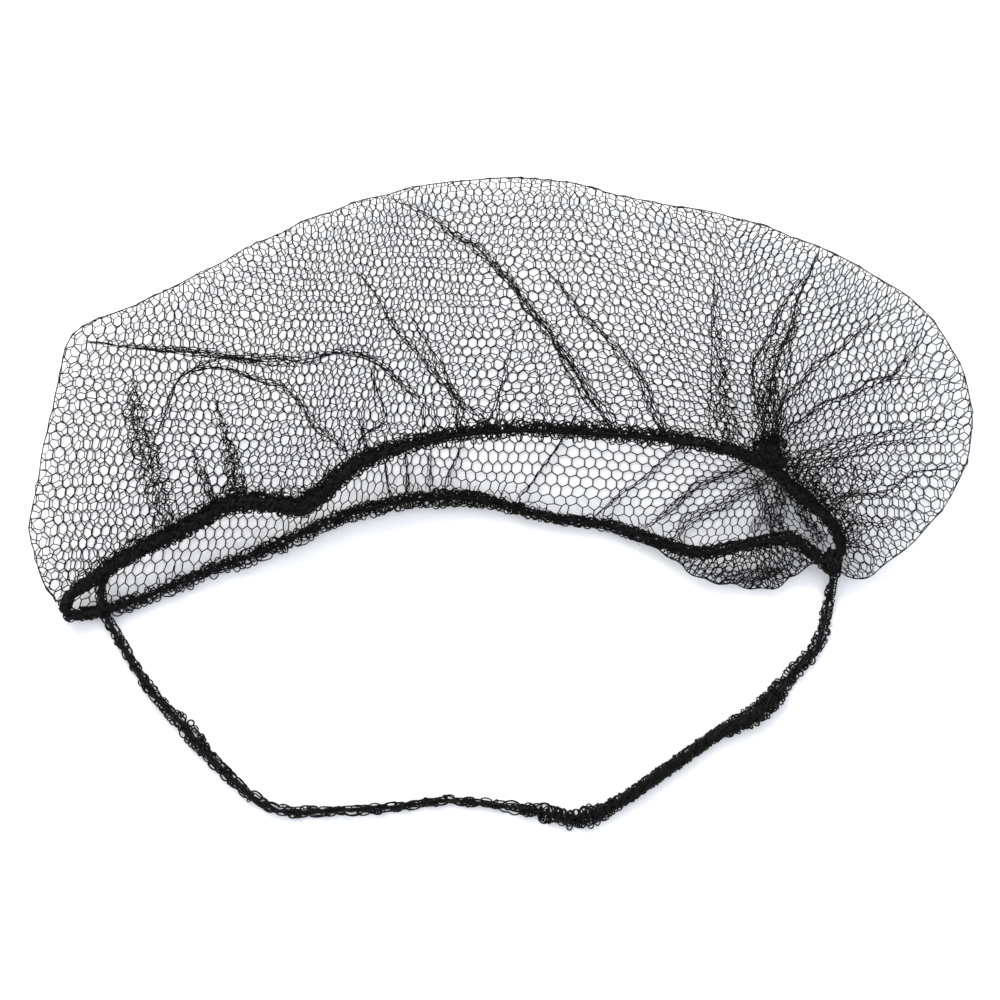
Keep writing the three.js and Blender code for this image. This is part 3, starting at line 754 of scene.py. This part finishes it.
def strand_mesh(name, points, strands, material, rims=(), thicker=1.0):
    """A closed mesh of thin four-sided strands which meet in knots."""
    meeting = np.bincount(strands.ravel(), minlength=len(points))
    radius = (strand_radius(points, rims) * thicker * np.where(meeting > 2, 1, PLAIN_STRAND))[:, None]
    # Each strand once from either end, in order of its angle round the knot it starts from
    n, e = len(points), len(strands)
    start, end = strands.T.ravel(), strands.T[::-1].ravel()
    heading = points[end] - points[start]
    angle = np.arctan2(heading[:, 1], heading[:, 0])
    order = np.lexsort((angle, start))
    rank = np.empty(2 * e, int)
    rank[order] = np.arange(2 * e)
    first = np.searchsorted(start[order], np.arange(n))
    after = np.searchsorted(start[order], np.arange(n), side="right")
    following = np.where(rank + 1 >= after[start], first[start], rank + 1)
    before = np.where(rank - 1 < first[start], after[start] - 1, rank - 1)
    following, before = order[following], order[before]
    gap = (angle[following] - angle) % (2 * np.pi)
    gap = np.where(following == np.arange(2 * e), 2 * np.pi, gap)
    # A knot has a vertex on top, one below, and one in each crotch between two strands
    direction = unit(heading)
    normal = np.zeros((n, 3))
    np.add.at(normal, start, np.cross(direction, direction[following]))
    normal = unit(normal + (0, 0, 0.3))
    corner = angle + gap / 2
    out = np.column_stack([np.cos(corner), np.sin(corner), np.zeros(2 * e)])
    own = normal[start]
    out = unit(out - own * (out * own).sum(1, keepdims=True))
    crotch = points[start] + out * radius[start] * 1.25
    vertices = np.vstack([points + normal * radius, points - normal * radius, crotch])
    k = np.arange(e)
    u, v = strands[:, 0], strands[:, 1]
    at_u = [u, 2 * n + k, n + u, 2 * n + before[k]]
    at_v = [v, 2 * n + before[k + e], n + v, 2 * n + k + e]
    quads = [np.column_stack([at_u[i], at_u[i - 3], at_v[i - 3], at_v[i]]) for i in range(4)]
    return add_mesh(name, vertices, np.vstack(quads), material)


def tube(path, radius, sides):
    """Points and quads of a tube with closed ends round a path."""
    path = np.asarray(path, float)
    t = unit(np.gradient(path, axis=0))
    reference = np.eye(3)[np.abs(t).mean(0).argmin()]
    side = unit(np.cross(t, reference))
    up = np.cross(side, t)
    turn = np.arange(sides) * 2 * np.pi / sides
    radius = np.broadcast_to(radius, len(path)).copy()
    ring = side[:, None] * np.cos(turn)[:, None] + up[:, None] * np.sin(turn)[:, None]
    points = (path[:, None] + ring * radius[:, None, None]).reshape(-1, 3)
    i, j = np.meshgrid(np.arange(len(path) - 1), np.arange(sides), indexing="ij")
    a, b = i * sides + j, i * sides + (j + 1) % sides
    quads = np.stack([a, b, b + sides, a + sides], -1).reshape(-1, 4)
    tips = len(points) + np.arange(2)
    points = np.vstack([points, path[:1], path[-1:]])
    k = np.arange(0, sides, 2)
    last = (len(path) - 1) * sides
    start = np.column_stack([np.full(len(k), tips[0]), (k + 2) % sides, k + 1, k])
    finish = np.column_stack([np.full(len(k), tips[1]), last + k, last + k + 1, last + (k + 2) % sides])
    return points, np.vstack([quads, start, finish])


def yarn_mesh(name, yarns, material):
    """One mesh of many yarns, each a (path, radius, sides), none of which goes below the table."""
    points, quads = joined([tube(*yarn) for yarn in yarns])
    points[:, 2] = np.maximum(points[:, 2], 0.02)
    return add_mesh(name, points, quads, material)


# ---------------- yarns
def frame_on(line):
    """Tangent, side and up along a line that runs mostly level."""
    t = unit(np.gradient(line, axis=0))
    side = unit(np.cross(t, (0, 0, 1)))
    return t, side, np.cross(side, t)


def even(line, step):
    length = arc_lengths(line)[-1]
    return along(line, np.linspace(0, length, max(4, int(length / step) + 1)))


def profile(line, rows):
    """Values along a line from rows of (share of its length, value), or from one value."""
    s = arc_lengths(line)
    rows = np.array(rows if np.ndim(rows) else [(0, rows)], float)
    return np.interp(s / s[-1], rows[:, 0], rows[:, 1])


def winding(line, side, up, reach, phase, flatness=1):
    """A path that winds round a line at some reach."""
    path = line + side * (reach * np.cos(phase))[:, None]
    return path + up * (reach * flatness * np.sin(phase))[:, None]


def bundle(line, step, *tables):
    """A line in even steps, its arc lengths and frame, and the values of the tables along it."""
    line = even(line, step)
    return line, arc_lengths(line), frame_on(line), [profile(line, rows) for rows in tables]


def wound_yarns(line, radius, count, turn, thickness, rng, step=0.7):
    """Yarns twisted round a line as an uneven bundle, with a solid heart so that it is opaque."""
    line, s, (_, side, up), (radius, thickness) = bundle(line, step, radius, thickness)
    yarns = [(line, radius * 0.7, 8)]
    for k in range(count):
        hand = 1 if k % 3 else -1
        pitch = turn * rng.uniform(0.7, 1.5)
        phase = rng.uniform(0, 2 * np.pi) + hand * 2 * np.pi * s / pitch + 0.8 * wander(s, 5, rng)
        reach = radius * (0.76 + 0.2 * wander(s, 3, rng))
        yarns.append((winding(line, side, up, reach, phase), thickness * rng.uniform(0.8, 1.2), 6))
    return yarns


def lace_loops(line, radius, spacing, size, thickness, rng, angles=(0, math.pi)):
    """Small round loops of yarn along the edges of a bundle, at angles round it."""
    line, s, (tangent, side, up), values = bundle(line, 0.4, radius, spacing, size)
    radius, spacing, size = values
    u = np.linspace(0, 2 * np.pi, 11)
    loops = []
    for angle in angles:
        here = 0.5
        while here < s[-1] - 0.5:
            k = np.searchsorted(s, here)
            a = angle + rng.uniform(-0.45, 0.45)
            tilt = rng.uniform(-0.7, 0.7)
            out = side[k] * math.cos(a) + up[k] * math.sin(a)
            across = up[k] * math.cos(a) - side[k] * math.sin(a)
            width = tangent[k] * math.cos(tilt) + across * math.sin(tilt)
            r = size[k] * rng.uniform(0.65, 1.35)
            squash = rng.uniform(0.8, 1.3)
            lean = rng.uniform(-0.4, 0.4)
            reach = radius[k] * 0.9 + r * (1 - np.cos(u)) * 0.95
            run = r * squash * np.sin(u) + lean * (reach - radius[k] * 0.9)
            path = line[k] + out * reach[:, None] + width * run[:, None]
            path[:, 2] = np.maximum(path[:, 2], 0.2)
            loops.append((path, thickness * rng.uniform(0.75, 1.2), 4))
            here += spacing[k] * rng.uniform(0.7, 1.3)
    return loops


def scalloped_yarns(line, radius, spacing, size, thickness, rng, angles=(0, math.pi), lay=None):
    """Yarns that arch out from a bundle and back, which leaves a row of eyelets along its edge."""
    line, s, (tangent, side, up), values = bundle(line, 0.22, radius, spacing, size)
    radius, spacing, size = values
    count = np.cumsum(np.gradient(s) / spacing)
    yarns = []
    for angle in angles:
        turn = count + rng.uniform(0, 1) + 0.3 * wander(s, 9, rng)
        arch = np.abs(np.sin(np.pi * turn))
        number = np.floor(turn).astype(int)
        uneven = rng.uniform(0.3, 1.5, number.max() - number.min() + 1)[number - number.min()]
        a = angle + 0.3 * wander(s, 6, rng)
        if lay:
            a = a + 2 * np.pi * s / lay
        out = side * np.cos(a)[:, None] + up * np.sin(a)[:, None]
        reach = radius * 0.75 + size * 2 * uneven * arch
        lean = -0.2 * spacing * np.sin(2 * np.pi * turn)
        path = line + out * reach[:, None] + tangent * lean[:, None]
        path[:, 2] = np.maximum(path[:, 2], 0.2)
        yarns.append((path, thickness, 4))
    return yarns


def stray_fibres(line, radius, count, size, rng):
    """Fine broken fibres that stick out of a bundle."""
    line = even(line, 0.5)
    s = arc_lengths(line)
    u = np.linspace(0, 1, 6)[:, None]
    fibres = []
    for _ in range(count):
        root = along(line, [rng.uniform(0, s[-1])])[0]
        out = unit(rng.normal(size=3) * (1, 1, 0.5))
        bend = unit(rng.normal(size=3))
        length = size * rng.uniform(0.3, 1.2)
        path = root + out * radius * 0.8 + out * length * u + bend * length * 0.5 * u**2
        path[:, 2] = np.maximum(path[:, 2], 0.15)
        fibres.append((path, 0.04, 4))
    return fibres


def tangle(centre, size, count, thickness, rng):
    """A lump of tangled yarn: a solid heart and yarns that wind over it in uneven rings."""
    centre, size = np.array(centre, float), np.array(size, float)
    yarns = []
    u = np.linspace(0, 2 * np.pi, 40)
    for _ in range(count):
        a, b = unit(rng.normal(size=3)), unit(rng.normal(size=3))
        b = unit(b - a * (a @ b))
        r = 0.75 + 0.18 * np.sin(u * rng.integers(2, 5) + rng.uniform(0, 6)) + rng.uniform(-0.15, 0.15)
        c = np.cross(a, b) * rng.uniform(-0.4, 0.4)
        ring = a * np.cos(u)[:, None] + b * np.sin(u)[:, None] + c
        yarns.append((centre + size * ring * r[:, None], thickness * rng.uniform(0.8, 1.2), 6))
    heart = np.linspace(-1, 1, 12)
    path = centre + np.column_stack([heart * size[0] * 0.8, 0 * heart, 0 * heart])
    bulk = 0.8 * min(size[1], size[2]) * np.sqrt(np.clip(1.05 - heart**2, 0.02, 1))
    yarns.append((path, bulk, 8))
    return yarns


# ---------------- materials
def set_inputs(node, **values):
    for name, value in values.items():
        node.inputs[name.replace("_", " ")].default_value = value


def new_material(name):
    material = bpy.data.materials.new(name)
    material.use_nodes = True
    return material, material.node_tree, material.node_tree.nodes["Principled BSDF"]


def dye(tree, shader, colours, places, scale, detail):
    """Colours a shader by noise over the piece, with colours at places on a ramp."""
    where = tree.nodes.new("ShaderNodeTexCoord")
    noise = tree.nodes.new("ShaderNodeTexNoise")
    set_inputs(noise, Scale=scale, Detail=detail)
    ramp = tree.nodes.new("ShaderNodeValToRGB")
    for element, place, colour in zip(ramp.color_ramp.elements, places, colours):
        element.position = place
        element.color = (*colour, 1)
    tree.links.new(where.outputs["Object"], noise.inputs["Vector"])
    tree.links.new(noise.outputs["Fac"], ramp.inputs["Fac"])
    tree.links.new(ramp.outputs["Color"], shader.inputs["Base Color"])
    return where


def yarn_material(name, colours, scale, roughness, sheen, bump):
    """Dyed yarn: uneven dye, fine twist in the relief and a soft sheen."""
    material, tree, shader = new_material(name)
    where = dye(tree, shader, colours, (0.35, 0.75), scale, detail=4)
    twist = tree.nodes.new("ShaderNodeTexNoise")
    set_inputs(twist, Scale=scale * 6, Detail=2)
    relief = tree.nodes.new("ShaderNodeBump")
    set_inputs(relief, Strength=bump, Distance=0.00008)
    gloss = tree.nodes.new("ShaderNodeMapRange")
    set_inputs(gloss, To_Min=roughness - 0.08, To_Max=roughness + 0.1)
    for start, end in (
        (where.outputs["Object"], twist.inputs["Vector"]),
        (twist.outputs["Fac"], relief.inputs["Height"]),
        (relief.outputs["Normal"], shader.inputs["Normal"]),
        (twist.outputs["Fac"], gloss.inputs["Value"]),
        (gloss.outputs["Result"], shader.inputs["Roughness"]),
    ):
        tree.links.new(start, end)
    set_inputs(shader, Sheen_Weight=sheen, Sheen_Roughness=0.5, Specular_IOR_Level=0.08)
    return material


def table_material():
    material, tree, shader = new_material("pale_table")
    dye(tree, shader, TABLE_COLOURS, (0, 1), scale=3, detail=2)
    set_inputs(shader, Roughness=0.9, Specular_IOR_Level=0.1)
    return material


# ---------------- camera, light and table
def make_camera():
    data = bpy.data.cameras.new("camera")
    data.lens = CAMERA_LENS
    data.sensor_width = CAMERA_SENSOR
    data.clip_start = 0.01
    camera = add_object("camera", data)
    target = Vector(-MIDDLE * MM)
    away = Vector((0, -math.cos(CAMERA_ELEVATION), math.sin(CAMERA_ELEVATION)))
    camera.location = target + away * CAMERA_DISTANCE
    camera.rotation_euler = (math.pi / 2 - CAMERA_ELEVATION, 0, 0)
    bpy.context.scene.camera = camera


def make_lamp():
    """A soft box behind the net, turned to the middle of the part."""
    data = bpy.data.lights.new("soft_box", "AREA")
    data.shape = "RECTANGLE"
    data.size, data.size_y = LAMP_SIZE
    data.energy = LAMP_WATTS
    data.color = LAMP_COLOUR
    lamp = add_object("soft_box", data)
    lamp.location = LAMP_PLACE
    lamp.rotation_euler = (-Vector(LAMP_PLACE)).to_track_quat("-Z", "Y").to_euler()


def make_stage():
    mesh = bpy.data.meshes.new("table")
    corners = [(-3, -3, 0), (3, -3, 0), (3, 3, 0), (-3, 3, 0)]
    mesh.from_pydata(corners, [], [(0, 1, 2, 3)])
    mesh.materials.append(table_material())
    table = add_object("table", mesh)
    world = bpy.data.worlds.new("studio")
    world.use_nodes = True
    set_inputs(world.node_tree.nodes["Background"], Color=WORLD_COLOUR, Strength=WORLD_STRENGTH)
    bpy.context.scene.world = world
    make_lamp()
    bpy.context.scene.view_settings.view_transform = "Standard"


# ---------------- pieces
def strap_strands(route, core, s, side, up, rng):
    """The strands of the strap's core, which run round each other."""
    yarns = []
    for k in range(STRAP_STRANDS):
        phase = 2 * np.pi * s / STRAP_LAY + k * 2 * np.pi / STRAP_STRANDS + 0.5 * wander(s, 8, rng)
        reach = 0.5 * core * (1 + 0.2 * wander(s, 4, rng))
        path = winding(route, side, up, reach, phase, STRAP_FLATNESS)
        yarns.append((path[::3], 0.42 * core[::3], 6))
    return yarns


def strap_coil(route, s, side, up, rng):
    """The yarn coiled round the strap, loose at first and close after."""
    share = s / s[-1]
    at = (share > STRAP_COIL[0, 0]) & (share < STRAP_COIL[-1, 0])
    reach, pitch = (np.interp(share[at], STRAP_COIL[:, 0], STRAP_COIL[:, k]) for k in (1, 2))
    phase = np.cumsum(2 * np.pi * np.gradient(s[at]) / pitch)
    reach = reach * (1 + 0.07 * wander(s[at], 2.2, rng))
    return (winding(route[at], side[at], up[at], reach, phase, STRAP_FLATNESS), 0.23, 4)


def make_strap(material):
    rng = np.random.default_rng(21)
    flat = np.column_stack([np.array(STRAP_ROUTE, float) - MIDDLE[:2], np.zeros(len(STRAP_ROUTE))])
    route = even(spline(flat, 600), 0.12)
    core = profile(route, STRAP_CORE)
    dense = profile(route, STRAP_DENSE)
    route[:, 2] = np.maximum(core * (1 - 0.2 * dense) + 0.25, 0.9)
    s = arc_lengths(route)
    share = s / s[-1]
    rise = smooth_step((share - 0.955) / 0.045) + 0.6 * smooth_step((0.03 - share) / 0.03)
    route[:, 2] += STRAP_END_LIFT * rise
    _, side, up = frame_on(route)
    yarns = strap_strands(route, core, s, side, up, rng)
    yarns.append(strap_coil(route, s, side, up, rng))
    knit = (route, STRAP_CORE, STRAP_SPACING, STRAP_LOOP)
    for angle, thickness in STRAP_KNIT:
        yarns += scalloped_yarns(*knit, thickness, rng, (angle,), STRAP_LAY * 1.7)
    yarns += scalloped_yarns(*knit, 0.18, rng, (0.2, 3.0))
    yarns += lace_loops(route, STRAP_CORE, STRAP_LOOSE, STRAP_LOOP, 0.19, rng)
    yarns += stray_fibres(route, 0.8, 50, 1.4, rng)
    strap = yarn_mesh("head_strap_knit", yarns, material)
    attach(strap, "root")
    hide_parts("head_strap")


def slack_layers():
    """The two layers of net in the slack that sags past the lower rim and turns up to it."""
    sagging = np.linalg.norm(lip_line - lower_rim_plan, axis=1) > 0.4
    area = np.vstack([lip_line[sagging], lower_rim_plan[sagging][::-1]])
    parts = []
    for layer, turn in enumerate(SLACK_TURNS):
        plan, strands = net_layer(area, None, None, [], LOWER_PITCH, turn, 7 + layer)
        z = settle(pouch_height(plan, True, lower_rim), strands, 6) + CLOTH_STEP * layer
        parts.append((np.column_stack([plan, np.maximum(z, 0.5)]), strands))
    return parts


def make_net(material):
    rng = np.random.default_rng(17)
    upper_area = np.vstack([edge_line, right_hem, upper_rim[::-1, :2]])
    lower_area = np.vstack([edge_line, right_hem, lip_line[::-1]])
    upper_tucks = UPPER_TUCKS + rim_gathers(upper_rim, UPPER_GATHERS, rng)
    lower_tucks = LOWER_TUCKS + rim_gathers(lower_rim, LOWER_GATHERS, rng)
    plan, strands = net_layer(upper_area, edge_line, upper_rim, upper_tucks, UPPER_PITCH, UPPER_TURN, 3)
    z = layer_heights(plan, strands, True, upper_rim)
    upper = strand_mesh("net_upper_layer", np.column_stack([plan, z]), strands, material, [upper_rim])
    shape = {"uneven": 0.6, "stretch": LOWER_STRETCH, "lean": LOWER_LEAN, "cells": LOWER_CELLS}
    plan, strands = net_layer(
        lower_area, edge_line, lower_rim, lower_tucks, LOWER_PITCH, LOWER_TURN, 11, **shape
    )
    z = np.maximum(layer_heights(plan, strands, False, lower_rim), 0.2)
    parts = [(np.column_stack([plan, z]), strands)] + slack_layers()
    lower = strand_mesh("net_lower_layer", *joined(parts), material, thicker=LOWER_THICKER)
    upper_tucks += [rim_frill(upper_rim, *row) for row in UPPER_FRILLS]
    lower_tucks += [rim_frill(lower_rim, *row) for row in LOWER_FRILLS]
    tucks = [
        make_tucks(upper_tucks, True, upper_rim, UPPER_PITCH, upper_area, 100),
        make_tucks(lower_tucks, False, lower_rim, LOWER_PITCH, lower_area, 1000),
    ]
    folds = strand_mesh("net_folds", *joined(tucks), material, [upper_rim, lower_rim])
    for piece in (upper, lower, folds):
        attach(piece, "root")
    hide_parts("net_pouch")
    return upper, lower, folds


def make_rim(node, line, rim, material):
    """Yarns wound along a line, with lacy edges, chains of open stitches and stray fibres."""
    rng = np.random.default_rng(rim.seed)
    yarns = wound_yarns(line, rim.core, rim.yarns, 6, rim.yarn, rng)
    for angles, thickness in (((0, math.pi, 0.5, 2.6), 0.16), ((math.pi / 2,), 0.15)):
        yarns += scalloped_yarns(line, rim.core, rim.spacing, rim.loop, thickness, rng, angles)
    yarns += lace_loops(line, rim.core, 1.7, rim.loop, 0.16, rng, (0, 2.7, math.pi))
    yarns += scalloped_yarns(line, rim.core, CHAIN_SPACING, rim.chain, 0.17, rng, rim.chain_angles)
    yarns += stray_fibres(line, 1.2, 50, 1.5, rng)
    elastic = yarn_mesh(node + "_elastic", yarns, material)
    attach(elastic, "root")
    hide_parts(node)
    return elastic


def left_tie(material):
    """The loop and the bar of yarn at the left corner."""
    rng = np.random.default_rng(9)
    loop, bar = spline(LEFT_LOOP, 60) - MIDDLE, spline(LEFT_BAR, 30) - MIDDLE
    yarns = wound_yarns(loop, LEFT_LOOP_CORE, 9, 5, 0.36, rng, 0.5)
    yarns += wound_yarns(bar, LEFT_BAR_CORE, 6, 4, 0.3, rng, 0.5)
    for line, core in ((loop, LEFT_LOOP_CORE), (bar, LEFT_BAR_CORE)):
        yarns += scalloped_yarns(line, core, [(0, 1.5), (1, 1.3)], 0.28, 0.18, rng)
    yarns += stray_fibres(loop, 1.5, 20, 1.6, rng)
    return yarn_mesh("left_corner_tie", yarns, material)


def right_tie(material):
    yarns = tangle(np.array(RIGHT_MIDDLE) - MIDDLE, RIGHT_SIZE, 22, 0.28, np.random.default_rng(10))
    return yarn_mesh("right_corner_tie", yarns, material)


def gather_tie(material):
    """The lump of yarn on the upper rim, with smaller lumps round it and rings of loops on it."""
    rng = np.random.default_rng(12)
    centre = np.array(KNOT_MIDDLE) - MIDDLE
    yarns = tangle(centre, KNOT_SIZE, 24, 0.28, rng)
    for offset, size in KNOT_LUMPS:
        yarns += tangle(centre + offset, size, 9, 0.26, rng)
    turn = np.linspace(0, 2 * np.pi, 50)
    for lift, reach in KNOT_RINGS:
        ring = centre + np.column_stack([np.cos(turn) * reach, np.sin(turn) * reach, 0 * turn + lift])
        yarns += lace_loops(ring, 0.6, 0.7, [(0, 0.6), (1, 0.5)], 0.18, rng)
    return yarn_mesh("gather_tie", yarns, material)


def make_ties(material):
    ties = left_tie(material), right_tie(material), gather_tie(material)
    for piece, node in zip(ties, ("left_corner_knot", "right_corner_knot", "gather_knot")):
        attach(piece, "root")
        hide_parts(node)
    return ties


make_camera()
elastic = yarn_material("black_elastic", ELASTIC_COLOURS, scale=900, roughness=0.6, sheen=0.025, bump=0.7)
make_strap(elastic)
nylon = yarn_material("black_nylon_net", NYLON_COLOURS, scale=500, roughness=0.65, sheen=0.02, bump=0.3)
upper_layer, lower_layer, folds = make_net(nylon)
upper_elastic = make_rim("upper_rim", upper_rim, UPPER_RIM, elastic)
lower_elastic = make_rim("lower_rim", lower_rim, LOWER_RIM, elastic)
left_knot, right_knot, gather_knot = make_ties(elastic)
make_stage()
